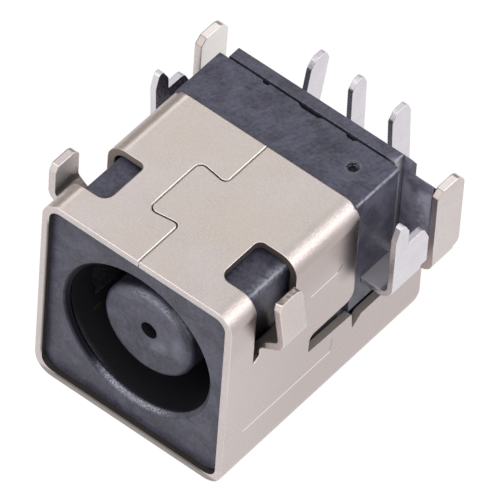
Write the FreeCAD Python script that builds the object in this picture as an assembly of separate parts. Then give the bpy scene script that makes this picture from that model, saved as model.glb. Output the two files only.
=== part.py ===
import FreeCAD, Part

import math
import os
from FreeCAD import Vector

# A right-angle DC power jack in a folded metal shield, lying on the flat face of the shield
# with its solder pins pointing up. Millimetres. X runs across the front, Y from the front
# opening to the rear, Z up. Heights are above the surface that the shield lies on.

# Shield: one folded sheet.
shield_width = 10.2
shield_height = 10.8
roof_length = 8.45
strip_overhang = 0.86
sheet = 0.36
bend_inside = 0.58
rear_corner_cut = 0.55
rear_corner_rise = 1.1

# Seam where the two ends of the sheet meet, locked by a dovetail tongue.
seam_x = 0.08
seam_gap = 0.07
tongue_start = 2.76
tongue_end = 5.68
tongue_reach = 1.55
tongue_flare = 0.22
tongue_radius = 0.3

# Windows in the bends of the roof, from which the front tabs are bent out.
window_front = 1.62
window_rear = 4.26
window_inner_x = 3.04
window_front_radius = 0.5
window_rear_radius = 0.34

# Front board tabs.
front_tab_start = 2.05
front_tab_width = 1.53
front_tab_root = 7.4
front_tab_ledge_left = 8.35
front_tab_ledge_right = 8.2
front_tab_offset_left = 1.33
front_tab_offset_right = 1.28
front_tab_top_left = 10.15
front_tab_top_right = 10.6
front_tab_lean_left = 0.02
front_tab_lean_right = -0.45
relief_depth = 0.75

# Rear board tabs.
rear_tab_set_back = 1.42
rear_tab_width = 1.78
rear_tab_ledge = 4.6
rear_tab_offset = 1.5
rear_tab_top = 9.7
tab_bend_inside = 0.3
tab_lead_in = 0.33
tab_corner = 0.42
blade_corner = 0.3

# Slot between the side wall and the lower side strip, and the edge of the strip.
slot_front = 5.5
slot_bottom = 3.97
slot_top = 5.0
slot_corner = 0.5
slot_front_round = 0.36
strip_front_height = 3.84
strip_rear_height = 3.34
notch_length = 0.59
notch_bottom = 2.85
tab_notch_lead = 0.73
tab_notch_bottom = 2.76

# Plug bore and centre post.
face_recess = 0.28
bore_radius = 3.79
bore_chamfer = 0.23
bore_height = 5.33
bore_floor = 9.6
post_radius = 2.4
post_front = 0.98
post_round = 0.32
signal_hole_radius = 0.42
signal_hole_length = 1.3
signal_chamber_radius = 0.85
dish_radius = 1.35
dish_depth = 0.12

# Housing.
collar_length = 1.1
collar_radius = 0.8
core_clearance_side = 0.24
core_clearance_top = 0.16
core_radius = 0.18
block_half_width = 4.9
block_drop = 0.15
block_rear = 11.3
block_step = 3.75
block_edge = 0.16
dimple_x = 3.38
dimple_set_back = 1.25
dimple_radius = 0.27
dimple_depth = 0.18

# Rear cover.
cover_groove = 0.14
cover_plate = 0.58
cover_half_width = 4.45
cover_pad_margin = 0.7
ear_plate = 0.42
ear_half_width = 6.2
ear_top_right = 9.85
ear_top_left = 7.6
shoulder_half_width = 4.95
cover_slope = 0.65

# Rear pins.
pin_pitch = 2.3
pin_thick = 0.25
pin_arm_height = 1.06
side_pin_width = 1.24
middle_pin_width = 0.98
pin_gap_left = 1.32
pin_gap_middle = 1.84
pin_gap_right = 1.82
pin_lean_left = 0.52
pin_lean_middle = -0.1
pin_lean_right = -0.23
pin_top_left = 9.34
pin_top_middle = 9.8
pin_top_right = 9.7
tip_front_cut = 0.36
tip_front_drop = 0.44
tip_rear_cut = 0.24
tip_rear_drop = 0.56
tip_round = 0.28

# Leaf springs and side prongs.
leaf_thick = 0.3
leaf_wall = 3.85
leaf_front = 2.0
leaf_bottom = 4.1
leaf_bulge = 0.42
leaf_crest = 2.6
leaf_length = 5.4
prong_ledge_top = 5.5
prong_offset = 1.68
prong_set_back = 2.15
prong_width = 0.84
prong_top = 9.7
prong_lean_left = 0.22
prong_lean_right = 0.0
prong_left_shorter = 0.2
prong_bend_inside = 0.42
shoulder_top = 8.25
shoulder_length = 2.3
ledge_set_back = 0.25
inner_leaf_front = 2.6
inner_leaf_bulge = 0.34
inner_leaf_crest = 1.6
inner_leaf_length = 3.6
fit_clearance = 0.03
channel_clearance = 0.08

# Sizes that follow from the ones above.
half_width = shield_width / 2
inner_half_width = half_width - sheet
inner_top = shield_height - sheet
block_top = shield_height - block_drop
cover_front = block_rear + cover_groove
cover_rear = cover_front + cover_plate
ear_rear = cover_rear + ear_plate
strip_length = ear_rear + strip_overhang
dimple_y = block_rear - dimple_set_back
prong_start = block_rear - prong_set_back
shoulder_end = prong_start + shoulder_length
ledge_end = block_rear - ledge_set_back
notch_rear = prong_start
notch_middle = notch_rear - notch_length
pin_front_left = ear_rear + pin_gap_left
pin_front_middle = ear_rear + pin_gap_middle
pin_front_right = ear_rear + pin_gap_right
part_rear = pin_front_left + side_pin_width + pin_lean_left
rear_tab_face = half_width + rear_tab_offset
front_tab_end = front_tab_start + front_tab_width
rear_tab_start = strip_length - rear_tab_set_back
rear_tab_end = rear_tab_start + rear_tab_width
tab_notch_front = rear_tab_start - tab_notch_lead
prong_face = block_half_width + prong_offset
foot_radius = bend_inside + channel_clearance
reach = 4 * shield_width


def place(plane, u, v, w):
    """Point of a flat drawing: u and v lie in the plane, w is the place along its normal."""
    if plane == "xy":
        return Vector(u, v, w)
    if plane == "yz":
        return Vector(w, u, v)
    return Vector(u, w, v)


def outline(plane, w, corners):
    """Closed wire through the corners; a third number rounds that corner."""
    count = len(corners)
    spans = []
    for i in range(count):
        here = Vector(corners[i][0], corners[i][1], 0)
        radius = corners[i][2] if len(corners[i]) > 2 else 0
        if radius <= 0:
            spans.append((here, None, here))
            continue
        before = Vector(corners[i - 1][0], corners[i - 1][1], 0)
        after = Vector(corners[(i + 1) % count][0], corners[(i + 1) % count][1], 0)
        back = (before - here).normalize()
        ahead = (after - here).normalize()
        half_angle = back.getAngle(ahead) / 2
        tangent = radius / math.tan(half_angle)
        middle_line = (back + ahead).normalize()
        centre = here + middle_line * (radius / math.sin(half_angle))
        spans.append((here + back * tangent, centre - middle_line * radius, here + ahead * tangent))
    edges = []
    for i in range(count):
        start, middle, end = spans[i]
        if middle is not None:
            arc = [place(plane, p.x, p.y, w) for p in (start, middle, end)]
            edges.append(Part.Arc(arc[0], arc[1], arc[2]).toShape())
        following = spans[(i + 1) % count][0]
        if end.distanceToPoint(following) > 1e-6:
            first = place(plane, end.x, end.y, w)
            last = place(plane, following.x, following.y, w)
            edges.append(Part.makeLine(first, last))
    return Part.Wire(edges)


def prism(plane, start, stop, corners):
    """Outline pulled along the plane's normal from start to stop."""
    face = Part.Face(outline(plane, start, corners))
    return face.extrude(place(plane, 0, 0, stop - start))


def block(x0, x1, y0, y1, z0, z1):
    return Part.makeBox(x1 - x0, y1 - y0, z1 - z0, Vector(x0, y0, z0))


def rod(radius, y0, y1, z):
    """Cylinder along the plug's axis."""
    return Part.makeCylinder(radius, y1 - y0, Vector(0, y0, z), Vector(0, 1, 0))


def folded(path, thick, inside):
    """Corners of a folded strip whose first face runs along path; it thickens to the right."""
    rights = []
    for a, b in zip(path, path[1:]):
        length = math.hypot(b[0] - a[0], b[1] - a[1])
        rights.append(((b[1] - a[1]) / length, (a[0] - b[0]) / length))
    first = []
    second = []
    for i, point in enumerate(path):
        if i == 0 or i == len(path) - 1:
            right = rights[0] if i == 0 else rights[-1]
            first.append((point[0], point[1]))
            second.append((point[0] + right[0] * thick, point[1] + right[1] * thick))
            continue
        before = rights[i - 1]
        after = rights[i]
        scale = thick / (1 + before[0] * after[0] + before[1] * after[1])
        across = (before[0] + after[0], before[1] + after[1])
        turn = before[0] * after[1] - before[1] * after[0]
        near = inside + thick if turn < 0 else inside
        far = inside if turn < 0 else inside + thick
        first.append((point[0], point[1], near))
        second.append((point[0] + across[0] * scale, point[1] + across[1] * scale, far))
    return first + second[::-1]


def mirror_x(shape):
    return shape.mirror(Vector(0, 0, 0), Vector(1, 0, 0))


def one(shape):
    """Shape with its split faces joined; a lone solid is taken out of its compound."""
    joined = shape.removeSplitter()
    return joined.Solids[0] if len(joined.Solids) == 1 else joined


def rectangle(half, low, high, low_radius, high_radius):
    return [
        (-half, low, low_radius),
        (half, low, low_radius),
        (half, high, high_radius),
        (-half, high, high_radius),
    ]


def make_front_tab(ledge, offset, lean, top):
    """Right front tab: slanted ledge out of the wall, then an upright blade."""
    face = half_width + offset
    path = [
        (half_width, front_tab_root - relief_depth),
        (half_width, front_tab_root),
        (face, ledge),
        (face + lean, top),
    ]
    profile = folded([(-x, z) for x, z in path], sheet, tab_bend_inside)
    bent = prism("xz", front_tab_start, front_tab_end, profile)
    shape = [
        (front_tab_start, front_tab_root - relief_depth),
        (front_tab_start, top - tab_lead_in),
        (front_tab_start + 0.6 * tab_lead_in, top),
        (front_tab_end, top, tab_corner),
        (front_tab_end, front_tab_root - relief_depth),
    ]
    return mirror_x(bent).common(prism("yz", 0, reach, shape))


def make_window():
    """Right window in the bend of the roof, with a relief notch on each side of the tab's root."""
    window = [
        (window_inner_x, window_front, window_front_radius),
        (reach, window_front),
        (reach, window_rear),
        (window_inner_x, window_rear, window_rear_radius),
    ]
    opening = prism("xy", front_tab_root, shield_height + 1, window)
    relief_low = front_tab_root - relief_depth
    relief_front = [
        (window_front, front_tab_root + 0.1),
        (window_front, relief_low, 0.08),
        (front_tab_start, relief_low + 0.2, 0.15),
        (front_tab_start, front_tab_root + 0.1),
    ]
    relief_rear = [
        (front_tab_end, front_tab_root + 0.1),
        (front_tab_end, relief_low + 0.2, 0.1),
        (window_rear, relief_low, 0.08),
        (window_rear, front_tab_root + 0.1),
    ]
    for relief in (relief_front, relief_rear):
        opening = opening.fuse(prism("yz", inner_half_width - 1, reach, relief))
    return opening


def make_rear_tab():
    """Right rear tab: level ledge out of the strip, then an upright blade."""
    path = [
        (-half_width, strip_rear_height),
        (-half_width, rear_tab_ledge),
        (-rear_tab_face, rear_tab_ledge),
        (-rear_tab_face, rear_tab_top),
    ]
    profile = folded(path, sheet, tab_bend_inside)
    bent = mirror_x(prism("xz", rear_tab_start, strip_length, profile))
    blade_low = rear_tab_ledge + sheet + tab_bend_inside
    blade_shape = [
        (rear_tab_start, blade_low),
        (rear_tab_end, blade_low, blade_corner),
        (rear_tab_end, rear_tab_top),
        (rear_tab_start, rear_tab_top),
    ]
    blade = prism("yz", rear_tab_face - sheet, rear_tab_face, blade_shape)
    shape = [
        (rear_tab_start, strip_rear_height),
        (rear_tab_start, rear_tab_top - tab_lead_in, 0.1),
        (rear_tab_start + tab_lead_in, rear_tab_top, 0.1),
        (rear_tab_end - tab_lead_in, rear_tab_top, 1.6 * tab_lead_in),
        (rear_tab_end, rear_tab_top - 1.4 * tab_lead_in, 1.6 * tab_lead_in),
        (rear_tab_end, strip_rear_height),
    ]
    return bent.fuse(blade).common(prism("yz", 0, reach, shape))


def seam_line():
    """Edge of the right half of the roof, with the dovetail tongue that reaches left."""
    end_x = seam_x - tongue_reach
    return [
        (reach, -1),
        (seam_x, -1),
        (seam_x, tongue_start, tongue_radius),
        (end_x, tongue_start - tongue_flare, tongue_radius),
        (end_x, tongue_end + tongue_flare, tongue_radius),
        (seam_x, tongue_end, tongue_radius),
        (seam_x, roof_length + 1),
        (reach, roof_length + 1),
    ]


def make_shield():
    bend_outside = bend_inside + sheet
    outside = rectangle(half_width, 0, shield_height, bend_outside, bend_outside)
    tube = prism("xz", 0, strip_length, outside)
    hollow = rectangle(inner_half_width, sheet, inner_top, bend_inside, bend_inside)
    tube = tube.cut(prism("xz", -1, strip_length + 1, hollow))
    open_back = [
        (slot_front, slot_bottom, 0.12),
        (notch_middle - 0.12, strip_front_height, 0.03),
        (notch_middle, notch_bottom, 0.06),
        (notch_rear, strip_rear_height, 0.1),
        (tab_notch_front, strip_rear_height),
        (tab_notch_front + 0.3, tab_notch_bottom, 0.1),
        (rear_tab_start, tab_notch_bottom + 0.2, 0.1),
        (rear_tab_start, rear_tab_ledge - sheet),
        (strip_length + 1, rear_tab_ledge - sheet),
        (strip_length + 1, shield_height + 1),
        (roof_length, shield_height + 1),
        (roof_length, slot_top, slot_corner),
        (slot_front + 0.04, slot_top, slot_front_round),
    ]
    tube = tube.cut(prism("yz", -reach, reach, open_back))
    corner = [
        (strip_length - rear_corner_cut, -1),
        (strip_length - rear_corner_cut, 0, 0.1),
        (strip_length, rear_corner_rise, 0.3),
        (strip_length, rear_corner_rise + 0.5),
        (strip_length + 1, rear_corner_rise + 0.5),
        (strip_length + 1, -1),
    ]
    tube = tube.cut(prism("yz", -reach, reach, corner))
    window = make_window()
    tube = tube.cut(window).cut(mirror_x(window))
    right_side = Part.Face(outline("xy", inner_top - 0.5, seam_line()))
    wider = right_side.makeOffset2D(seam_gap)
    ribbon = wider.cut(right_side).extrude(Vector(0, 0, 2))
    ribbon = ribbon.common(block(-window_inner_x, window_inner_x, -2, roof_length + 2, 0, reach))
    tube = tube.cut(ribbon)
    right_tab = make_front_tab(front_tab_ledge_right, front_tab_offset_right,
                               front_tab_lean_right, front_tab_top_right)
    left_tab = make_front_tab(front_tab_ledge_left, front_tab_offset_left,
                              front_tab_lean_left, front_tab_top_left)
    tabs = [right_tab, mirror_x(left_tab)]
    tabs += [make_rear_tab(), mirror_x(make_rear_tab())]
    return one(tube.multiFuse(tabs))


def make_housing():
    face_y = face_recess
    collar_end = face_y + collar_length
    collar_shape = rectangle(inner_half_width, sheet, inner_top, collar_radius, collar_radius)
    collar = prism("xz", face_y, collar_end, collar_shape)
    core_half = inner_half_width - core_clearance_side
    core_top = inner_top - core_clearance_top
    core = prism("xz", collar_end, roof_length, rectangle(core_half, sheet, core_top, foot_radius, core_radius))
    rear = [
        (-core_half, sheet, foot_radius),
        (core_half, sheet, foot_radius),
        (core_half, block_step, 0.05),
        (block_half_width, block_step + 0.1, 0.05),
        (block_half_width, block_top, block_edge),
        (-block_half_width, block_top, block_edge),
        (-block_half_width, block_step + 0.1, 0.05),
        (-core_half, block_step, 0.05),
    ]
    body = collar.fuse(core).fuse(prism("xz", roof_length, block_rear, rear))
    bore = rod(bore_radius, -1, bore_floor, bore_height)
    mouth = Part.makeCone(bore_radius + bore_chamfer, bore_radius, bore_chamfer,
                          Vector(0, face_y, bore_height), Vector(0, 1, 0))
    body = body.cut(bore).cut(mouth)
    post = rod(post_radius, post_front, bore_floor + 0.2, bore_height)
    rim = [e for e in post.Edges if abs(e.BoundBox.YMax - post_front) < 1e-6]
    post = post.makeFillet(post_round, rim)
    dish = Part.makeCone(dish_radius, signal_hole_radius, dish_depth,
                         Vector(0, post_front, bore_height), Vector(0, 1, 0))
    post = post.cut(dish)
    body = body.fuse(post)
    hole_end = post_front + signal_hole_length
    body = body.cut(rod(signal_hole_radius, post_front - 1, hole_end + 0.1, bore_height))
    body = body.cut(rod(signal_chamber_radius, hole_end, bore_floor, bore_height))
    arm_half = pin_arm_height / 2 + fit_clearance
    blade_half = pin_thick / 2 + fit_clearance
    low = bore_height - arm_half
    high = bore_height + arm_half
    body = body.cut(block(-blade_half, blade_half, bore_floor - 0.5, block_rear + 1, low, high))
    for side in (-1, 1):
        x = side * pin_pitch
        body = body.cut(block(x - blade_half, x + blade_half, inner_leaf_front, block_rear + 1, low, high))
        nose = sorted((x - side * (blade_half + channel_clearance), side * bore_radius))
        body = body.cut(block(nose[0], nose[1], inner_leaf_front - 0.1, bore_floor - 2, low, high))
    leaf_top = prong_ledge_top + fit_clearance
    channel_out = leaf_wall + leaf_thick + channel_clearance
    channel = block(0.8 * bore_radius, channel_out, leaf_front - channel_clearance,
                    ledge_end + fit_clearance, leaf_bottom - channel_clearance, leaf_top)
    exit_low = prong_ledge_top - leaf_thick - fit_clearance
    side_exit = block(leaf_wall, reach, prong_start - fit_clearance,
                      ledge_end + fit_clearance, exit_low, leaf_top)
    elbow = block(leaf_wall, leaf_wall + leaf_thick + prong_bend_inside + channel_clearance,
                  prong_start - fit_clearance, ledge_end + fit_clearance, leaf_bottom, leaf_top)
    for cutter in (channel, side_exit, elbow):
        body = body.cut(cutter).cut(mirror_x(cutter))
    dimple = Part.makeCylinder(dimple_radius, 1, Vector(dimple_x, dimple_y, block_top - dimple_depth))
    body = body.cut(dimple)
    for x, half, depth in ((-pin_pitch, 0.2, 0.12), (0.1, 0.7, 0.12), (pin_pitch, 0.3, 0.12)):
        notch = [
            (x - half, block_rear + 1),
            (x - half, block_rear),
            (x - half * 0.6, block_rear - depth),
            (x + half * 0.6, block_rear - depth),
            (x + half, block_rear),
            (x + half, block_rear + 1),
        ]
        body = body.cut(prism("xy", block_top - 1.2, block_top + 1, notch))
    return one(body)


def make_cover():
    plate = [
        (-cover_half_width, sheet, foot_radius),
        (cover_half_width, sheet, foot_radius),
        (cover_half_width + 0.1, block_top, 0.15),
        (-cover_half_width, block_top, 0.15),
    ]
    body = prism("xz", cover_front, cover_rear, plate)
    pad = rectangle(cover_half_width - cover_pad_margin, sheet + cover_pad_margin,
                    block_top - 2 * cover_pad_margin, 0.2, 0.2)
    body = body.fuse(prism("xz", block_rear, cover_front + 0.1, pad))
    ear_low = rear_tab_ledge + sheet
    wings = [
        (-cover_half_width, sheet, foot_radius),
        (cover_half_width, sheet, foot_radius),
        (cover_half_width, ear_low),
        (ear_half_width, ear_low, tab_bend_inside + channel_clearance),
        (ear_half_width, ear_top_right, 0.1),
        (shoulder_half_width, ear_top_right),
        (shoulder_half_width, block_top, 0.15),
        (-cover_half_width, block_top, 0.15),
        (-cover_half_width, ear_top_left),
        (-ear_half_width, ear_top_left, 0.1),
        (-ear_half_width, ear_low, tab_bend_inside + channel_clearance),
        (-cover_half_width, ear_low),
    ]
    body = body.fuse(prism("xz", cover_rear, ear_rear, wings))
    for low_x, high_x, top in (
        (-reach, -cover_half_width, ear_top_left),
        (-cover_half_width, shoulder_half_width, block_top),
        (shoulder_half_width, reach, ear_top_right),
    ):
        slope = [
            (cover_rear, top),
            (cover_rear, top + 1),
            (ear_rear + 1, top + 1),
            (ear_rear + 1, top - cover_slope * (ear_plate + 1) / ear_plate),
        ]
        body = body.cut(prism("yz", low_x, high_x, slope))
    arm_half = pin_arm_height / 2 + fit_clearance
    blade_half = pin_thick / 2 + fit_clearance
    for x in (-pin_pitch, 0, pin_pitch):
        body = body.cut(block(x - blade_half, x + blade_half, 0, part_rear,
                              bore_height - arm_half, bore_height + arm_half))
    return one(body)


def rear_pin(x, arm_start, width, front, lean, top):
    """Flat blade: a level arm out of the cover and an upright solder pin with a rounded tip."""
    low = bore_height - pin_arm_height / 2
    high = bore_height + pin_arm_height / 2
    rear = front + width
    corners = [
        (arm_start, low),
        (rear, low, 0.3),
        (rear, high),
        (rear + lean, top - tip_rear_drop, tip_round),
        (rear + lean - tip_rear_cut, top, tip_round),
        (front + lean + tip_front_cut, top, tip_round),
        (front + lean, top - tip_front_drop, tip_round),
        (front, high, 0.25),
        (arm_start, high),
    ]
    return prism("yz", x - pin_thick / 2, x + pin_thick / 2, corners)


def make_signal_contact():
    tube_start = post_front + signal_hole_length + 0.1
    tube_end = bore_floor - 0.1
    outer = signal_chamber_radius - channel_clearance
    tube = rod(outer, tube_start, tube_end, bore_height)
    tube = tube.cut(rod(signal_hole_radius + fit_clearance, tube_start - 1, tube_end - 0.6, bore_height))
    slit = block(-0.1, 0.1, tube_start - 1, tube_end - 2.5, bore_height - 1, bore_height + 1)
    tube = tube.cut(slit)
    blade = rear_pin(0, tube_end - 0.4, middle_pin_width, pin_front_middle, pin_lean_middle,
                     pin_top_middle)
    return one(tube.fuse(blade))


def make_inner_contact(side):
    """Leaf spring in the side of the post; it bows out towards the plug's barrel."""
    front = pin_front_left if side < 0 else pin_front_right
    lean = pin_lean_left if side < 0 else pin_lean_right
    top = pin_top_left if side < 0 else pin_top_right
    tip = inner_leaf_front + fit_clearance
    path = [
        (pin_pitch - pin_thick / 2, tip),
        (pin_pitch - pin_thick / 2 + inner_leaf_bulge, tip + inner_leaf_crest),
        (pin_pitch - pin_thick / 2, tip + inner_leaf_length),
        (pin_pitch - pin_thick / 2, bore_floor + 0.4),
    ]
    leaf = prism("xy", bore_height - pin_arm_height / 2, bore_height + pin_arm_height / 2,
                 folded(path, pin_thick, 1.0))
    if side < 0:
        leaf = mirror_x(leaf)
    blade = rear_pin(side * pin_pitch, bore_floor, side_pin_width, front, lean, top)
    return one(leaf.fuse(blade))


def make_outer_contact(lean, shorter):
    """Right leaf spring in the wall of the bore, with the prong at the side of the jack."""
    top = prong_top - shorter
    path = [
        (leaf_wall, leaf_front),
        (leaf_wall - leaf_bulge, leaf_front + leaf_crest),
        (leaf_wall, leaf_front + leaf_length),
        (leaf_wall, ledge_end),
    ]
    bend_low = prong_ledge_top - leaf_thick - prong_bend_inside
    leaf = prism("xy", leaf_bottom, prong_ledge_top, folded(path, leaf_thick, 2.0))
    leaf = leaf.cut(block(0, reach, prong_start, reach, bend_low, reach))
    turn = [
        (leaf_wall, leaf_bottom),
        (leaf_wall, prong_ledge_top),
        (prong_face - leaf_thick, prong_ledge_top),
        (prong_face - leaf_thick + lean, top),
    ]
    profile = folded(turn, leaf_thick, prong_bend_inside)
    bent = prism("xz", prong_start, ledge_end, profile)
    blade_low = prong_ledge_top + prong_bend_inside
    blade = prism("xz", prong_start, shoulder_end, profile)
    blade = blade.common(block(0, reach, prong_start, shoulder_end, blade_low, reach))
    shape = [
        (prong_start, leaf_bottom),
        (prong_start, top - 0.7, 0.3),
        (prong_start + 0.26, top, 0.17),
        (prong_start + 0.5, top, 0.17),
        (prong_start + prong_width, top - 0.6, 0.2),
        (prong_start + prong_width, shoulder_top, 0.06),
        (shoulder_end - 0.4, shoulder_top, 0.3),
        (shoulder_end, shoulder_top - 0.8, 0.3),
        (shoulder_end, leaf_bottom),
    ]
    formed = bent.fuse(blade).common(prism("yz", 0, reach, shape))
    return one(leaf.fuse(formed))


pieces = {
    "shield": make_shield(),
    "housing": make_housing(),
    "rear_cover": make_cover(),
    "signal_contact": make_signal_contact(),
    "inner_contact_left": make_inner_contact(-1),
    "inner_contact_right": make_inner_contact(1),
    "outer_contact_left": mirror_x(make_outer_contact(prong_lean_left, prong_left_shorter)),
    "outer_contact_right": make_outer_contact(prong_lean_right, 0),
}

# The origin is at the middle of the footprint.
os.makedirs("parts", exist_ok=True)
for name, shape in pieces.items():
    shape.translate(Vector(0, -part_rear / 2, 0))
    shape.exportStep("parts/" + name + ".step")
    print(name, shape.isValid(), len(shape.Solids), round(shape.Volume, 3))
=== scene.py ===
import math

import bmesh
import bpy
from mathutils import Matrix, Quaternion, Vector

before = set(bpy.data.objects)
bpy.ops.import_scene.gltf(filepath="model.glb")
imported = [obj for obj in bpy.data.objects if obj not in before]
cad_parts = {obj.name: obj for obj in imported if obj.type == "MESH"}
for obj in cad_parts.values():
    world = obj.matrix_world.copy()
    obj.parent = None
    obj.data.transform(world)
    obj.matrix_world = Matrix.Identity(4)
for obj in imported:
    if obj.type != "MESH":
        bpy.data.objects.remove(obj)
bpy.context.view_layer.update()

MM = 0.001

# Places on the shield, in millimetres. The mouth faces forwards, to -y, and the pins point up.
sheet = 0.36
wall_x = 5.1
wall_inside = wall_x - sheet
roof_z = 10.8
roof_inside = roof_z - sheet
front_y = -7.76
front_tabs_end = 0.0
rear_tabs_start = 1.0
slot_heights = (2.0, 4.05)
window_rear_y = (-3.6, -3.1)
window_near_x = (2.9, 3.5)
seam_reach = 2.2

# Margins for telling which face a point lies on, in millimetres.
slack = 0.01
hair = 0.004

# Places on the housing, its bore and post, the contacts and the cover, in millimetres.
mouth_y = -7.48
bore_radius = 3.79
bore_height = 5.33
bore_end = 1.84
chamfer = 0.24
post_radius = 2.4
hole_radius = 0.42
block_top = 10.65
dimple_place = (3.38, 2.29)
dimple_radius = 0.27
flank_x = 4.2
slot_end = 0.65
tab_shade_end = -3.2
spring_x = 4.6
ear_x = 4.6

# Bright scribed lines on the right wall, and painted highlights along the seam: two ends and a
# width.
scribed_lines_and_seam_highlights = (
    ((wall_x, -6.46, 2.63), (wall_x, -0.69, 2.63), 0.06),
    ((wall_x, -2.34, 7.7), (wall_x, -0.6, 7.72), 0.06),
    ((0.02, -7.7, roof_z), (0.02, -5.2, roof_z), 0.07),
    ((-1.53, -4.6, roof_z), (-1.53, -2.5, roof_z), 0.07),
    ((0.02, -1.85, roof_z), (0.02, 0.65, roof_z), 0.07),
)

# Two dark nicks and a painted soft shade on the right wall: two ends, a width and a strength.
nicks_and_painted_shade = (
    ((wall_x, -0.52, 7.78), (wall_x, -0.32, 7.95), 0.09, 0.8),
    ((wall_x, -0.66, 2.75), (wall_x, -0.6, 3.35), 0.14, 0.25),
    ((wall_x, 0.5, 9.5), (wall_x, 0.45, 7.5), 1.2, 0.7),
)

# Painted highlights and a painted shade on the face of the post: two ends, a width, a strength, a
# colour.
post_patches = (
    ((0.45, -6.78, 4.6), (0.8, -6.78, 4.85), 0.5, 0.6, (132, 134, 150)),
    ((1.6, -6.78, 5.75), (1.6, -6.78, 5.0), 0.45, 0.5, (132, 134, 150)),
    ((-0.72, -6.78, 5.5), (-0.35, -6.78, 4.62), 0.5, 0.45, (52, 52, 66)),
    ((-1.3, -6.78, 6.9), (0.6, -6.78, 7.4), 0.5, 0.45, (118, 119, 136)),
)

# Two small painted brown glints and a faint grey line in the bore: two ends, a width and a colour.
bore_marks = (
    ((-3.36, -6.11, 3.57), (-3.37, -5.71, 3.6), 0.07, (96, 62, 40)),
    ((-3.54, -4.53, 3.99), (-3.55, -4.26, 4.0), 0.06, (70, 52, 38)),
    ((-3.62, -6.5, 6.45), (-3.7, -6.22, 4.51), 0.06, (40, 41, 45)),
)

# Painted highlights on the corner of the core and on both sides of the joint with the cover, and a
# pale streak on the cover's ear.
core_corner = ((4.42, -6.3, 10.2), (4.42, -3.3, 10.2), 0.44)
block_joint = ((4.9, 3.54, 10.3), (4.9, 3.54, 5.2), 0.13)
cover_joint = ((4.6, 3.6, 10.2), (4.6, 3.6, 5.0), 0.75)
ear_streak = ((5.75, 4.26, 8.6), (5.75, 4.26, 7.2), 0.65)


# Colours are written as they look on the object, 0 to 255, and turned into light values here.
def colour(red, green, blue):
    def light(level):
        share = level / 255
        return share / 12.92 if share <= 0.04045 else ((share + 0.055) / 1.055) ** 2.4

    return (light(red), light(green), light(blue), 1.0)


# Node helpers.
def connect(tree, value, socket):
    """Sets a socket to a value, or links it to the socket that feeds it."""
    if isinstance(value, bpy.types.NodeSocket):
        tree.links.new(value, socket)
    else:
        socket.default_value = value


def add(tree, kind, inputs=None, **settings):
    """New node; inputs holds values or the sockets that feed it."""
    node = tree.nodes.new(kind)
    for name, value in settings.items():
        setattr(node, name, value)
    for name, value in (inputs or {}).items():
        connect(tree, value, node.inputs[name])
    return node


def math_node(tree, operation, a, b=0.0, clamp=False):
    node = add(tree, "ShaderNodeMath", {0: a, 1: b}, operation=operation, use_clamp=clamp)
    return node.outputs[0]


def joined(tree, operation, values):
    """One value after another joined to the first by the same operation."""
    result = values[0]
    for value in values[1:]:
        result = math_node(tree, operation, result, value)
    return result


def product(tree, *values):
    return joined(tree, "MULTIPLY", values)


def total(tree, *values):
    return joined(tree, "ADD", values)


def largest(tree, *values):
    return joined(tree, "MAXIMUM", values)


def minus(tree, value, taken):
    return math_node(tree, "SUBTRACT", value, taken)


def size_of(tree, value):
    """The value without its sign."""
    return math_node(tree, "ABSOLUTE", value)


def above(tree, value, limit):
    """1 where the value is above the limit, else 0."""
    return math_node(tree, "GREATER_THAN", value, limit)


def below(tree, value, limit):
    """1 where the value is below the limit, else 0."""
    return math_node(tree, "LESS_THAN", value, limit)


def within(tree, value, low, high):
    """1 where the value lies between the two limits, else 0."""
    return product(tree, above(tree, value, low), below(tree, value, high))


def vector_node(tree, operation, a, b=None):
    inputs = {0: a} if b is None else {0: a, 1: b}
    node = add(tree, "ShaderNodeVectorMath", inputs, operation=operation)
    return node.outputs["Value" if operation in ("DOT_PRODUCT", "LENGTH") else "Vector"]


def scaled(tree, vector, factor):
    inputs = {0: vector, "Scale": factor}
    return add(tree, "ShaderNodeVectorMath", inputs, operation="SCALE").outputs["Vector"]


def split(tree, vector):
    """The X, Y and Z of a vector."""
    return add(tree, "ShaderNodeSeparateXYZ", {0: vector}).outputs


def blend_colour(tree, share, first, second):
    node = add(tree, "ShaderNodeMix", data_type="RGBA", blend_type="MIX")
    for index, value in ((0, share), (6, first), (7, second)):
        connect(tree, value, node.inputs[index])
    return node.outputs[2]


def paint(tree, skin, layers):
    """Lays colours over the skin in turn; each layer is a share and a colour."""
    for share, tint in layers:
        skin = blend_colour(tree, share, skin, tint)
    return skin


def remap(tree, value, low, high, new_low, new_high, smooth=False):
    inputs = {
        "Value": value,
        "From Min": low,
        "From Max": high,
        "To Min": new_low,
        "To Max": new_high,
    }
    kind = "SMOOTHSTEP" if smooth else "LINEAR"
    return add(tree, "ShaderNodeMapRange", inputs, interpolation_type=kind).outputs[0]


def new_group(name, inputs, outputs):
    """Shader group with named sockets; an input is (name, kind, default)."""
    tree = bpy.data.node_groups.new(name, "ShaderNodeTree")
    for label, kind, default in inputs:
        kind = "NodeSocket" + kind
        socket = tree.interface.new_socket(label, in_out="INPUT", socket_type=kind)
        socket.default_value = default
    for label, kind in outputs:
        tree.interface.new_socket(label, in_out="OUTPUT", socket_type="NodeSocket" + kind)
    given = tree.nodes.new("NodeGroupInput").outputs
    out = tree.nodes.new("NodeGroupOutput").inputs
    return tree, given, out


def use_group(tree, group, inputs):
    node = tree.nodes.new("ShaderNodeGroup")
    node.node_tree = group
    for name, value in inputs.items():
        connect(tree, value, node.inputs[name])
    return node.outputs


def millimetres(tree):
    """Position on the object in millimetres."""
    return scaled(tree, add(tree, "ShaderNodeTexCoord").outputs["Object"], 1 / MM)


def facing_of(tree):
    """X, Y and Z of the direction in which the surface faces."""
    return split(tree, add(tree, "ShaderNodeNewGeometry").outputs["Normal"])


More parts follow.
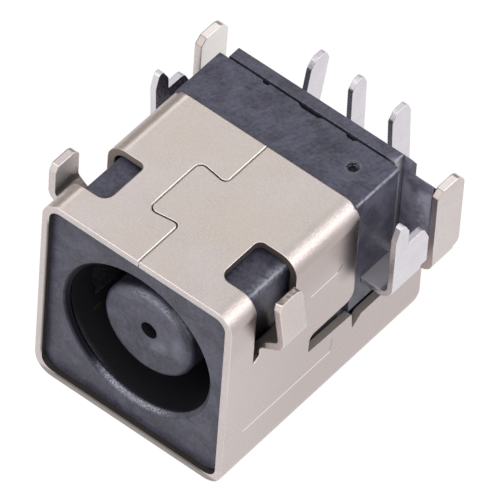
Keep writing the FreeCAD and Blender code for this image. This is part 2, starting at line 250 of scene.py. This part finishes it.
def noise(tree, place, per_mm, detail=3.0, roughness=0.55, distortion=0.0):
    inputs = {
        "Vector": place,
        "Scale": per_mm,
        "Detail": detail,
        "Roughness": roughness,
        "Distortion": distortion,
    }
    return add(tree, "ShaderNodeTexNoise", inputs).outputs["Fac"]


# Shared effects.
def make_fine_grain():
    """Fine speckle and soft clouds of a plated or moulded skin."""
    tree, given, out = new_group(
        "fine_grain",
        [("Speckle per mm", "Float", 12.0), ("Clouds per mm", "Float", 0.4)],
        [("Speckle", "Float"), ("Clouds", "Float")],
    )
    place = millimetres(tree)
    connect(tree, noise(tree, place, given["Speckle per mm"], detail=2.0), out["Speckle"])
    connect(tree, noise(tree, place, given["Clouds per mm"], detail=4.0), out["Clouds"])
    return tree


def make_soft_edges():
    """Rounded normal at sharp edges, and a mask of where the edges are."""
    tree, given, out = new_group(
        "soft_edges",
        [("Radius", "Float", 0.04 * MM)],
        [("Normal", "Vector"), ("Mask", "Float")],
    )
    bevel = add(tree, "ShaderNodeBevel", {"Radius": given["Radius"]}, samples=12)
    rounded = bevel.outputs["Normal"]
    plain = add(tree, "ShaderNodeNewGeometry").outputs["Normal"]
    likeness = vector_node(tree, "DOT_PRODUCT", rounded, plain)
    connect(tree, rounded, out["Normal"])
    connect(tree, remap(tree, likeness, 0.99, 0.8, 0.0, 1.0), out["Mask"])
    return tree


def make_line_mark():
    """Mask of a straight mark between two points, in millimetres, fading out to its width."""
    tree, given, out = new_group(
        "line_mark",
        [("Start", "Vector", (0, 0, 0)), ("End", "Vector", (0, 1, 0)), ("Width", "Float", 0.06)],
        [("Mask", "Float")],
    )
    along = vector_node(tree, "SUBTRACT", given["End"], given["Start"])
    offset = vector_node(tree, "SUBTRACT", millimetres(tree), given["Start"])
    top = vector_node(tree, "DOT_PRODUCT", offset, along)
    bottom = vector_node(tree, "DOT_PRODUCT", along, along)
    reached = scaled(tree, along, math_node(tree, "DIVIDE", top, bottom, clamp=True))
    gap = vector_node(tree, "LENGTH", vector_node(tree, "SUBTRACT", offset, reached))
    connect(tree, remap(tree, gap, given["Width"], 0.0, 0.0, 1.0, smooth=True), out["Mask"])
    return tree


def make_flow_marks():
    """Faint swirls and strokes that the plastic leaves where it ran into the mould."""
    tree, given, out = new_group(
        "flow_marks",
        [("Strokes per mm", "Float", 5.0)],
        [("Swirl", "Float"), ("Stroke", "Float")],
    )
    place = millimetres(tree)
    swirl = noise(tree, place, 0.55, detail=4.0, roughness=0.6, distortion=1.2)
    patches = noise(tree, place, 0.22, detail=1.0)
    strokes = None
    for index, angle in enumerate((25.0, 80.0, 140.0)):
        turned = add(tree, "ShaderNodeMapping", {
            "Vector": place,
            "Rotation": (0.0, 0.0, math.radians(angle)),
            "Location": (7.0 * index, 3.0, 5.0),
        })
        narrow = vector_node(tree, "MULTIPLY", turned.outputs["Vector"], (1.0, 0.16, 0.8))
        stroke = noise(tree, narrow, given["Strokes per mm"], detail=2.0, distortion=0.3)
        if strokes is None:
            strokes = stroke
            continue
        low, high = 0.36 + 0.12 * index, 0.44 + 0.12 * index
        share = remap(tree, patches, low, high, 0.0, 1.0, smooth=True)
        mixed = add(tree, "ShaderNodeMix", {0: share, 2: strokes, 3: stroke}, data_type="FLOAT")
        strokes = mixed.outputs[0]
    connect(tree, swirl, out["Swirl"])
    connect(tree, strokes, out["Stroke"])
    return tree


fine_grain = make_fine_grain()
soft_edges = make_soft_edges()
line_mark = make_line_mark()
flow_marks = make_flow_marks()


def line_mask(tree, start, end, width):
    inputs = {"Start": start, "End": end, "Width": width}
    return use_group(tree, line_mark, inputs)["Mask"]


def new_material(name, metallic=0.0, roughness=0.5):
    """Material with the plain values of its finish; the patterns are linked over them."""
    material = bpy.data.materials.new(name)
    material.use_nodes = True
    tree = material.node_tree
    shader = tree.nodes["Principled BSDF"].inputs
    shader["Metallic"].default_value = metallic
    shader["Roughness"].default_value = roughness
    return material, tree, shader


def relief(tree, strength, depth, height, edges):
    """Normal of a fine relief on top of the rounded edges; its depth is in millimetres."""
    inputs = {
        "Strength": strength,
        "Distance": depth * MM,
        "Height": height,
        "Normal": edges["Normal"],
    }
    return add(tree, "ShaderNodeBump", inputs).outputs["Normal"]


# The shield: nickel-plated sheet with a satin skin, stretched and grainy in the bends.
def make_shield_metal():
    material, tree, shader = new_material("plated_shield", metallic=1.0)
    grain = use_group(tree, fine_grain, {"Speckle per mm": 11.0, "Clouds per mm": 0.5})
    place = millimetres(tree)
    sides = split(tree, place)
    facing = facing_of(tree)
    edges = use_group(tree, soft_edges, {"Radius": shield_edge_radius(tree, sides)})
    tab_face = left_tab_face(tree, sides, facing)
    tab_top, facet = rear_tab_tops(tree, sides, facing)
    cut = slot_edge(tree, sides, facing)
    sheared = window_edge(tree, sides, facing)
    # The sheared window edges are brownish bare metal, painted lighter on the left and darker on
    # the right as painted light and shade.
    right = above(tree, sides["X"], 0.0)
    sheared_lit_and_shaded = blend_colour(tree, right, colour(156, 142, 134), colour(88, 79, 75))
    seam = seam_edge(tree, sides, facing)
    inside = mouth_inside(tree, sides)

    clouds = remap(tree, grain["Clouds"], 0.3, 0.7, 0.0, 1.0)
    skin = blend_colour(tree, clouds, colour(211, 200, 198), colour(219, 210, 209))
    skin = paint(tree, skin, [
        (warm_clouds(tree, place, facing), colour(214, 203, 194)),
        (remap(tree, grain["Speckle"], 0.35, 0.65, 0.0, 0.42), colour(192, 181, 176)),
        # Painted shade on the walls.
        (wall_painted_shade(tree, sides, facing), colour(178, 164, 160)),
    ])
    # Dark nicks, and a wide painted shade near the rear of the right wall.
    for *line, strength in nicks_and_painted_shade:
        nick_and_shade = product(tree, line_mask(tree, *line), strength)
        skin = blend_colour(tree, nick_and_shade, skin, colour(84, 78, 72))
    scribed_and_seam_highlight = largest(tree, *[line_mask(tree, *line) for line in scribed_lines_and_seam_highlights])
    skin = paint(tree, skin, [
        # Painted highlight along the rounded edges.
        (edges["Mask"], colour(230, 223, 222)),
        (bottom_rim(tree, sides), colour(104, 94, 88)),
        # Bright scribed lines, and painted highlights along the seam.
        (scribed_and_seam_highlight, colour(250, 248, 246)),
        # Painted light on the inner faces of the left tabs.
        (product(tree, tab_face, 0.9), colour(255, 250, 247)),
        # Painted shade at the root of the left front tab.
        (left_tab_root_shade(tree, sides, tab_face), colour(84, 74, 68)),
        (right_tab_stain(tree, place, sides, facing), colour(124, 110, 102)),
        # Painted highlight on the top of the rear tabs, and a darker facet in front of it.
        (tab_top, colour(244, 235, 233)),
        (facet, colour(160, 149, 145)),
        (cut, colour(150, 141, 134)),
        (sheared, sheared_lit_and_shaded),
        # Painted highlight on the sheared sides of the seam.
        (seam, colour(255, 252, 248)),
        (lip_shade(tree, sides), colour(70, 64, 60)),
        # Painted shade on the inner skin in front of the housing.
        (inside, colour(92, 86, 84)),
    ])
    connect(tree, skin, shader["Base Color"])

    slope = size_of(tree, product(tree, facing["X"], facing["Z"]))
    bend = remap(tree, slope, 0.12, 0.4, 0.0, 1.0, smooth=True)
    rough = total(
        tree,
        remap(tree, grain["Clouds"], 0.3, 0.7, 0.25, 0.32),
        product(tree, inside, 0.3),
        product(tree, largest(tree, cut, sheared), 0.3),
        product(tree, bend, 0.1),
    )
    connect(tree, rough, shader["Roughness"])
    bare = product(tree, largest(tree, cut, sheared, seam), 0.7)
    matt = largest(tree, product(tree, tab_face, 0.45), bare)
    connect(tree, minus(tree, 1.0, matt), shader["Metallic"])
    stretched = noise(tree, place, 13.0, detail=2.0)
    connect(tree, relief(tree, bend, 0.022, stretched, edges), shader["Normal"])
    return material


def shield_edge_radius(tree, sides):
    """Crisp edges low down and softer ones on the upper half, a little less on the rear tabs."""
    radius = remap(tree, sides["Z"], 5.3, 6.2, 0.03 * MM, 0.1 * MM)
    rear_tab = above(tree, sides["Y"], rear_tabs_start)
    return minus(tree, radius, product(tree, rear_tab, 0.02 * MM))


def warm_clouds(tree, place, facing):
    """Warmer patches in the plating of the roof."""
    level = remap(tree, facing["Z"], 0.7, 0.98, 0.0, 1.0)
    return product(tree, level, remap(tree, noise(tree, place, 0.3), 0.38, 0.62, 0.1, 0.9))


def wall_painted_shade(tree, sides, facing):
    """Painted shade that makes the walls darker than the roof: more so at their rear, bottom and
    top.
    """
    upright = remap(tree, size_of(tree, facing["X"]), 0.6, 0.98, 0.0, 1.0, smooth=True)
    wall = product(tree, upright, below(tree, size_of(tree, sides["X"]), wall_x + slack))
    low = remap(tree, sides["Z"], 9.5, 0.0, 0.32, 0.48)
    rear = remap(tree, sides["Y"], front_y, front_y + 5.0, -0.12, 0.15)
    high = remap(tree, sides["Z"], 7.4, 9.4, 0.0, 0.3, smooth=True)
    return product(tree, wall, total(tree, low, rear, high))


def bottom_rim(tree, sides):
    """Soft shade along the bottom of the front rim."""
    low = remap(tree, sides["Z"], 0.24, 0.4, 0.6, 0.0, smooth=True)
    return product(tree, low, remap(tree, sides["Y"], front_y + 0.02, front_y + 0.1, 1.0, 0.0))


def left_tab_face(tree, sides, facing):
    """1 on the inner faces of the tabs that stand out from the left wall."""
    outside = below(tree, sides["X"], -wall_x - 0.3)
    return product(tree, outside, above(tree, facing["X"], 0.8))


def left_tab_root_shade(tree, sides, tab_face):
    """Painted shade at the root of the left front tab, fading out upwards."""
    low = remap(tree, sides["Z"], 9.4, 8.5, 0.0, 0.8, smooth=True)
    return product(tree, tab_face, low, below(tree, sides["Y"], front_tabs_end))


def right_tab_stain(tree, place, sides, facing):
    """Brownish stain on the sheared top of the right front tab."""
    return product(
        tree,
        above(tree, sides["X"], wall_x + 0.2),
        below(tree, sides["Y"], front_tabs_end),
        above(tree, facing["Z"], 0.8),
        above(tree, sides["Z"], 9.9),
        remap(tree, noise(tree, place, 4.0), 0.35, 0.6, 0.35, 0.9),
    )


def rear_tab_tops(tree, sides, facing):
    """The top of the rear tabs, which gets a painted highlight, and the darker sloping facet in
    front of it.
    """
    rear = product(tree, above(tree, sides["Y"], rear_tabs_start), above(tree, sides["Z"], 8.5))
    level = above(tree, facing["Z"], 0.93)
    slope = product(tree, above(tree, facing["Z"], 0.3), below(tree, facing["Y"], -0.4))
    return product(tree, rear, level), product(tree, rear, slope)


def slot_edge(tree, sides, facing):
    """1 on the sheared upper edge of the lower strip, which is matt and brownish."""
    return product(
        tree,
        above(tree, facing["Z"], 0.7),
        within(tree, sides["Z"], *slot_heights),
        below(tree, size_of(tree, sides["X"]), wall_x + slack),
    )


def window_edge(tree, sides, facing):
    """1 on the sheared edges of the roof windows: the rear edge and the one nearest the seam."""
    rear = product(
        tree,
        below(tree, facing["Y"], -0.7),
        within(tree, sides["Y"], *window_rear_y),
        above(tree, sides["Z"], 7.0),
    )
    near = product(
        tree,
        above(tree, size_of(tree, facing["X"]), 0.7),
        above(tree, sides["Z"], roof_inside - slack),
        within(tree, size_of(tree, sides["X"]), *window_near_x),
    )
    return largest(tree, rear, near)


def seam_edge(tree, sides, facing):
    """1 on the sheared sides of the seam where it runs from front to rear."""
    return product(
        tree,
        above(tree, size_of(tree, facing["X"]), 0.8),
        above(tree, sides["Z"], roof_inside - slack),
        below(tree, size_of(tree, sides["X"]), seam_reach),
    )


def lip_shade(tree, sides):
    """Dark line along the inner border of the front rim, at its left and at its bottom."""
    left = product(
        tree,
        remap(tree, sides["X"], -wall_inside - 0.13, -wall_inside - 0.03, 0.0, 0.85),
        below(tree, sides["X"], -wall_inside + slack),
        remap(tree, sides["Z"], 0.9, 1.3, 0.0, 1.0),
        remap(tree, sides["Z"], 9.4, 9.8, 1.0, 0.0),
    )
    bottom = product(
        tree,
        remap(tree, sides["Z"], sheet - 0.16, sheet - 0.04, 0.0, 0.85),
        below(tree, sides["Z"], sheet + slack),
        remap(tree, size_of(tree, sides["X"]), 3.9, 4.3, 1.0, 0.0),
    )
    front = below(tree, sides["Y"], front_y + 0.02)
    return product(tree, largest(tree, left, bottom), front)


def mouth_inside(tree, sides):
    """1 on the inner skin of the shield in front of the housing, which gets painted shade and a
    rougher finish.
    """
    return product(
        tree,
        below(tree, size_of(tree, sides["X"]), wall_inside + hair),
        within(tree, sides["Z"], sheet - hair, roof_inside + hair),
        within(tree, sides["Y"], front_y + hair, mouth_y + 0.1),
    )


# The contacts: tin-plated strip, whiter and glossier than the shield, with painted shade inside
# the housing.
def make_contact_metal():
    material, tree, shader = new_material("tinned_contact", metallic=1.0)
    grain = use_group(tree, fine_grain, {"Speckle per mm": 7.0, "Clouds per mm": 0.9})
    edges = use_group(tree, soft_edges, {"Radius": 0.05 * MM})
    sides = split(tree, millimetres(tree))
    clouds = remap(tree, grain["Clouds"], 0.3, 0.7, 0.0, 1.0)
    deep = remap(tree, sides["Y"], bore_end, bore_end + 0.5, 1.0, 0.0)
    hidden = product(tree, deep, below(tree, size_of(tree, sides["X"]), spring_x))
    skin = blend_colour(tree, clouds, colour(216, 211, 217), colour(226, 222, 228))
    skin = paint(tree, skin, [
        # Painted highlight along the rounded edges.
        (edges["Mask"], colour(236, 234, 235)),
        # Painted shade on the contacts deep inside the housing.
        (hidden, colour(56, 54, 58)),
    ])
    connect(tree, skin, shader["Base Color"])
    connect(tree, minus(tree, 1.0, product(tree, hidden, 0.8)), shader["Metallic"])
    rough = remap(tree, grain["Speckle"], 0.3, 0.7, 0.24, 0.32)
    level = remap(tree, facing_of(tree)["Z"], 0.25, 0.9, 0.0, 0.25)
    connect(tree, total(tree, rough, level), shader["Roughness"])
    connect(tree, edges["Normal"], shader["Normal"])
    return material


# The mouldings: fine matt black plastic with faint flow marks and painted highlights on edges and
# corners.
def make_moulding(name, dark, pale, roughness, add_marks):
    material, tree, shader = new_material(name, roughness=roughness)
    grain = use_group(tree, fine_grain, {"Speckle per mm": 6.0, "Clouds per mm": 0.7})
    edges = use_group(tree, soft_edges, {"Radius": 0.06 * MM})
    flow = use_group(tree, flow_marks, {"Strokes per mm": 9.0})
    sides = split(tree, millimetres(tree))
    facing = facing_of(tree)

    swirl = remap(tree, flow["Swirl"], 0.35, 0.65, 0.0, 0.42, smooth=True)
    upper = remap(tree, sides["Z"], 10.5, 10.6, 0.35, 1.0)
    stroke = product(tree, remap(tree, flow["Stroke"], 0.36, 0.64, -0.02, 0.31), upper)
    speckle = remap(tree, grain["Speckle"], 0.34, 0.66, -0.05, 0.3)
    share = math_node(tree, "ADD", total(tree, swirl, stroke), speckle, clamp=True)
    # Painted highlight on the rounded edges and on corners sloping between side and top, broken up
    # by speckle.
    corner = remap(tree, product(tree, facing["X"], facing["Z"]), 0.3, 0.48, 0.0, 1.0)
    edge_highlight = largest(tree, product(tree, edges["Mask"], 0.6), corner)
    edge_highlight = product(tree, edge_highlight, remap(tree, grain["Speckle"], 0.38, 0.62, 0.4, 0.9))
    skin = blend_colour(tree, share, dark, pale)
    skin = blend_colour(tree, edge_highlight, skin, colour(172, 173, 186))
    skin, shineless = add_marks(tree, skin, sides, facing, grain["Speckle"], flow["Swirl"])
    connect(tree, skin, shader["Base Color"])
    connect(tree, shineless, shader["Metallic"])

    rough = remap(tree, flow["Stroke"], 0.3, 0.7, roughness - 0.05, roughness + 0.07)
    rough = minus(tree, rough, product(tree, edges["Mask"], 0.14))
    connect(tree, rough, shader["Roughness"])
    connect(tree, relief(tree, 0.5, 0.012, grain["Speckle"], edges), shader["Normal"])
    return material


def add_housing_marks(tree, skin, sides, facing, speckle, swirl):
    """Painted shade in the bore, painted highlights and shade round its mouth and on the post,
    dirt in the dimple, and painted light and shade on the flanks that show past the shield.

    The second result is where the dimple's dirt and the painted ring shade take the shine away, as
    a nearly black metal would.
    """
    # Painted shade in the bore and in the small hole, then painted glints and a faint line in it.
    skin = blend_colour(tree, bore_mask(tree, sides), skin, colour(34, 34, 39))
    for *line, tint in bore_marks:
        skin = blend_colour(tree, line_mask(tree, *line), skin, colour(*tint))
    painted_highlight, painted_ring_shade = mouth_highlight_and_shade(tree, sides)
    # Painted shade on the left of the chamfer ring, and painted highlights on the bore's mouth and
    # the post's rim.
    skin = blend_colour(tree, painted_ring_shade, skin, colour(24, 24, 30))
    skin = blend_colour(tree, painted_highlight, skin, colour(188, 191, 206))
    # Painted highlights and shade on the face of the post.
    for *line, strength, tint in post_patches:
        clouded = remap(tree, swirl, 0.36, 0.6, 0.3 * strength, strength)
        patch = product(tree, line_mask(tree, *line), clouded)
        skin = blend_colour(tree, patch, skin, colour(*tint))
    dirt, ring = dimple_masks(tree, sides, speckle)
    flecks = remap(tree, speckle, 0.34, 0.66, 0.1, 0.62)
    gap, shade = flank_masks(tree, sides, facing)
    skin = paint(tree, skin, [
        # Painted highlight on the dimple's ring, and dirt in the dimple.
        (ring, colour(120, 120, 130)),
        (dirt, colour(8, 8, 10)),
        # Painted highlights on the core's corner and along the block's side of the joint.
        (product(tree, line_mask(tree, *core_corner), flecks), colour(172, 176, 192)),
        (product(tree, line_mask(tree, *block_joint), 0.7), colour(160, 160, 170)),
        # Painted shade under each front tab, and painted light on the plastic seen through the
        # slot.
        (shade, colour(14, 13, 15)),
        (gap, colour(176, 176, 186)),
    ])
    return skin, largest(tree, painted_ring_shade, dirt)


def add_cover_marks(tree, skin, sides, facing, speckle, swirl):
    """Painted light on the front of the cover's right ear, a pale streak on it, and a painted
    highlight along the joint beside it; no dirt on it.
    """
    front = remap(tree, facing["Y"], -0.8, -0.95, 0.0, 0.75)
    clouded = remap(tree, swirl, 0.38, 0.62, 0.35, 1.2)
    ear = product(tree, front, above(tree, sides["X"], ear_x), clouded)
    outer = remap(tree, sides["X"], 5.1, 6.2, 0.7, 1.9)
    flecks = remap(tree, speckle, 0.36, 0.64, 0.1, 0.9)
    # Painted light on the ear's front, a pale streak on it, and a painted highlight along the
    # joint.
    skin = paint(tree, skin, [
        (math_node(tree, "MULTIPLY", ear, outer, clamp=True), colour(176, 175, 194)),
        (product(tree, line_mask(tree, *ear_streak), flecks), colour(196, 196, 210)),
        (line_mask(tree, *cover_joint), colour(226, 226, 236)),
    ])
    return skin, 0.0


def from_bore_axis(tree, sides):
    """Distance from the axis of the bore, and height above it."""
    height = minus(tree, sides["Z"], bore_height)
    across = add(tree, "ShaderNodeCombineXYZ", {0: sides["X"], 2: height})
    return vector_node(tree, "LENGTH", across.outputs[0]), height


def bore_mask(tree, sides):
    """1 on the wall and floor of the plug bore, fading out at its mouth, and in the small hole."""
    radius, height = from_bore_axis(tree, sides)
    outside_post = remap(tree, radius, post_radius - 0.02, post_radius + 0.01, 0.0, 1.0)
    inside_bore = remap(tree, radius, bore_radius + 0.02, bore_radius + 0.05, 1.0, 0.0)
    deep = product(
        tree,
        remap(tree, sides["Y"], mouth_y + 0.18, mouth_y + 0.6, 0.8, 1.0, smooth=True),
        remap(tree, sides["Y"], mouth_y + 0.18, mouth_y + 0.24, 0.0, 1.0),
    )
    wall = product(tree, outside_post, inside_bore, deep)
    return largest(tree, wall, below(tree, radius, hole_radius + slack))


def mouth_highlight_and_shade(tree, sides):
    """Painted highlight flecks on the mouth of the bore and the rim of the post; painted shade on
    the left of the chamfer ring.
    """
    radius, height = from_bore_axis(tree, sides)
    angle = math_node(tree, "ARCTAN2", sides["X"], height)
    ring = product(
        tree,
        within(tree, radius, bore_radius - 0.005, bore_radius + chamfer),
        below(tree, sides["Y"], mouth_y + 0.3),
    )
    from_bottom = size_of(tree, minus(tree, size_of(tree, angle), 2.95))
    from_middle = size_of(tree, minus(tree, radius, bore_radius + 0.09))
    low = product(
        tree,
        remap(tree, from_bottom, 0.05, 0.5, 1.0, 0.0, smooth=True),
        remap(tree, from_middle, 0.04, 0.12, 1.0, 0.1),
    )
    rim = product(
        tree,
        remap(tree, radius, post_radius - 0.5, post_radius - 0.25, 0.0, 1.0, smooth=True),
        remap(tree, radius, post_radius - 0.18, post_radius - 0.04, 1.0, 0.0),
    )
    from_top = size_of(tree, minus(tree, angle, 0.15))
    high = remap(tree, from_top, 0.2, 0.85, 0.85, 0.0, smooth=True)
    flecks = remap(tree, noise(tree, millimetres(tree), 15.0, detail=2.0), 0.38, 0.66, 0.1, 1.0)
    painted_highlight = largest(tree, product(tree, ring, low), product(tree, rim, high))
    leftwards = math_node(tree, "DIVIDE", sides["X"], radius)
    aside = remap(tree, leftwards, 0.0, -0.7, 0.0, 1.0, smooth=True)
    inner = remap(tree, radius, bore_radius + 0.22, bore_radius + 0.12, 0.35, 1.0)
    return product(tree, painted_highlight, flecks), product(tree, ring, aside, inner)


def dimple_masks(tree, sides, speckle):
    """Dirt in the small dimple of the rear block, and a painted highlight on the thin raised ring
    round it.
    """
    across = add(tree, "ShaderNodeCombineXYZ", {
        0: minus(tree, sides["X"], dimple_place[0]),
        1: minus(tree, sides["Y"], dimple_place[1]),
    })
    radius = vector_node(tree, "LENGTH", across.outputs[0])
    radius = total(tree, radius, remap(tree, speckle, 0.3, 0.7, -0.06, 0.06))
    top = above(tree, sides["Z"], block_top - 0.3)
    dirt = remap(tree, radius, dimple_radius, dimple_radius - 0.1, 0.0, 0.75)
    rise = remap(tree, radius, dimple_radius + 0.02, dimple_radius + 0.06, 0.0, 0.6)
    fall = remap(tree, radius, dimple_radius + 0.08, dimple_radius + 0.13, 1.0, 0.0)
    return product(tree, dirt, top), product(tree, rise, fall, top)


def flank_masks(tree, sides, facing):
    """Painted light on the plastic seen through the long slot, and painted shade under each front
    tab.
    """
    aside = above(tree, size_of(tree, facing["X"]), 0.5)
    flank = product(tree, aside, above(tree, size_of(tree, sides["X"]), flank_x))
    low = remap(tree, sides["Z"], 5.2, 4.8, 0.0, 0.6)
    gap = product(tree, flank, low, below(tree, sides["Y"], slot_end))
    under_tab = remap(tree, sides["Z"], 9.3, 8.0, 0.0, 0.9, smooth=True)
    shade = product(tree, flank, under_tab, below(tree, sides["Y"], tab_shade_end))
    return gap, shade


def dress(node, material):
    """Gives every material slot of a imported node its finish."""
    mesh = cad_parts[node].data
    if not mesh.materials:
        mesh.materials.append(material)
    for index in range(len(mesh.materials)):
        mesh.materials[index] = material


shield_metal = make_shield_metal()
contact_metal = make_contact_metal()
housing_plastic = make_moulding(
    "housing_plastic", colour(46, 45, 58), colour(98, 97, 118), 0.4, add_housing_marks
)
cover_plastic = make_moulding(
    "cover_plastic", colour(50, 50, 60), colour(100, 99, 118), 0.43, add_cover_marks
)

dress("shield", shield_metal)
dress("housing", housing_plastic)
dress("rear_cover", cover_plastic)
for contact in ("signal_contact", "inner_contact_left", "inner_contact_right",
                "outer_contact_left", "outer_contact_right"):
    dress(contact, contact_metal)


# The studio: pale floor, a dark card, soft light from all sides, and white surroundings.
def put_in_scene(name, data, spot=(0, 0, 0), turn=None):
    """Object for a mesh, a lamp or a camera, at its spot and with its turn."""
    made = bpy.data.objects.new(name, data)
    made.location = spot
    if turn is not None:
        made.rotation_mode = "QUATERNION"
        made.rotation_quaternion = turn
    bpy.context.scene.collection.objects.link(made)
    return made


def put_flat_in_scene(name, grid, material):
    """Object made of a grid that is already in its place."""
    mesh = bpy.data.meshes.new(name)
    grid.to_mesh(mesh)
    grid.free()
    mesh.materials.append(material)
    return put_in_scene(name, mesh)


def bare_material(name):
    """Material without any shader yet."""
    material = bpy.data.materials.new(name)
    material.use_nodes = True
    material.node_tree.nodes.clear()
    return material, material.node_tree


def mix_shaders(tree, share, first, second):
    """Gives a bare material a mix of two shaders as its surface."""
    inputs = {0: share, 1: first.outputs[0], 2: second.outputs[0]}
    mixed = add(tree, "ShaderNodeMixShader", inputs)
    add(tree, "ShaderNodeOutputMaterial", {"Surface": mixed.outputs[0]})


def seen_directly(tree, gloss_share):
    """1 for rays from the camera or through glass, the given share off gloss, else 0."""
    path = add(tree, "ShaderNodeLightPath").outputs
    gloss = product(tree, path["Is Glossy Ray"], gloss_share)
    return largest(tree, path["Is Camera Ray"], path["Is Transmission Ray"], gloss)


def make_floor():
    """White table just under the jack, which takes its shadow."""
    material, tree = bare_material("white_table")
    cloth = add(tree, "ShaderNodeBsdfDiffuse", {"Color": (0.9, 0.9, 0.9, 1.0)})
    glow = add(tree, "ShaderNodeEmission", {"Color": (1, 1, 1, 1), "Strength": 1.06})
    mix_shaders(tree, product(tree, seen_directly(tree, 0.82), 0.9), cloth, glow)
    grid = bmesh.new()
    bmesh.ops.create_grid(grid, x_segments=2, y_segments=2, size=1.5)
    bmesh.ops.translate(grid, verts=grid.verts, vec=(0, 0, -0.02 * MM))
    floor = put_flat_in_scene("floor", grid, material)


def make_dark_card():
    """Dark card behind and left of the jack; only the metal's gloss shows it."""
    material, tree = bare_material("black_paper")
    clear = add(tree, "ShaderNodeBsdfTransparent")
    paper = add(tree, "ShaderNodeEmission", {"Color": colour(132, 122, 116), "Strength": 1.0})
    gloss = add(tree, "ShaderNodeLightPath").outputs["Is Glossy Ray"]
    mix_shaders(tree, gloss, clear, paper)
    upright = Matrix.Rotation(math.pi / 2, 3, "X")
    turn = Matrix.Rotation(math.atan2(0.85, 0.526), 3, "Z") @ upright
    grid = bmesh.new()
    bmesh.ops.create_grid(grid, x_segments=1, y_segments=1, size=0.5)
    bmesh.ops.scale(grid, verts=grid.verts, vec=(0.5, 0.135, 1.0))
    bmesh.ops.transform(grid, verts=grid.verts, matrix=turn.to_4x4())
    bmesh.ops.translate(grid, verts=grid.verts, vec=(-0.17, 0.105, 0.07))
    card = put_flat_in_scene("dark_card", grid, material)


def make_world():
    """White to the camera and nearly so to gloss, and a dim light on everything else."""
    world = bpy.data.worlds.new("white_room")
    bpy.context.scene.world = world
    world.use_nodes = True
    tree = world.node_tree
    tree.nodes.clear()
    strength = remap(tree, seen_directly(tree, 0.74), 0.0, 1.0, 0.36, 1.0)
    sky = add(tree, "ShaderNodeBackground", {"Color": (1, 1, 1, 1), "Strength": strength})
    add(tree, "ShaderNodeOutputWorld", {"Surface": sky.outputs[0]})


def look_at(spot, aim):
    return (Vector(aim) - Vector(spot)).to_track_quat("-Z", "Y")


def soft_light(name, spot, aim, width, height, radiance):
    """Rectangular soft box that is evenly bright; its place and size are in metres."""
    data = bpy.data.lights.new(name, "AREA")
    data.shape = "RECTANGLE"
    data.size = width
    data.size_y = height
    data.energy = radiance * math.pi * width * height
    put_in_scene(name, data, spot, look_at(spot, aim))


def make_camera():
    """Long lens in front of the jack, to its right and above it, tilted a little."""
    spot = Vector((165.68, -229.23, 336.77)) * MM
    aim = Vector((0.212, -0.196, 5.0)) * MM
    tilt = Quaternion((0, 0, 1), math.radians(4.42))
    data = bpy.data.cameras.new("camera")
    data.sensor_width = 36.0
    data.lens = 743.8
    data.clip_start = 0.05
    data.clip_end = 10.0
    bpy.context.scene.camera = put_in_scene("camera", data, spot, look_at(spot, aim) @ tilt)


make_camera()
make_floor()
make_dark_card()
make_world()
centre = (0, 0, 5 * MM)
soft_light("overhead", (0.05, -0.05, 0.5), centre, 0.3, 0.3, 1.0)
soft_light("right_box", (0.29, 0.16, 0.24), centre, 0.44, 0.26, 1.55)
soft_light("rear_strip", (-0.23, 0.14, 0.24), centre, 0.3, 0.05, 1.1)
soft_light("front_fill", (0.28, -0.33, 0.28), centre, 0.34, 0.34, 1.28)
soft_light("front_box", (-0.16, -0.32, 0.22), centre, 0.26, 0.26, 1.5)

bpy.context.scene.view_settings.view_transform = "Standard"
